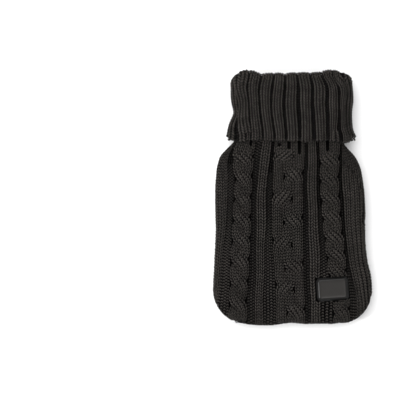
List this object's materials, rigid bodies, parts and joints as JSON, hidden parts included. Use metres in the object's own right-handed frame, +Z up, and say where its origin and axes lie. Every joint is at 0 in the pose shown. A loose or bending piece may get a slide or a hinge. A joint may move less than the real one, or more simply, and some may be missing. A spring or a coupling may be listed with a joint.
{
  "type": "knitted hot water bottle cover",
  "caption": "Cable-knit cover for a small hot water bottle, with a ribbed turned-down collar, an open mouth and a small plain patch, lying flat on its back.",
  "frame": {"origin": "on the surface that the cover lies on, under the middle of its outline", "axes": "+X across the cover to the picture's right, +Y along it towards the turned-down collar, +Z up off the surface, out of the cabled front"},
  "size_m": [0.1269, 0.2031, 0.0198],
  "materials": {
    "knit": "warm charcoal cable knit, matt wool-like yarn",
    "patch": "soft dark satin-like patch, slightly padded, bare"
  },
  "bodies": {
    "root": {"front_panel": "knit", "back_panel": "knit", "patch": "patch"}
  },
  "joints": []
}
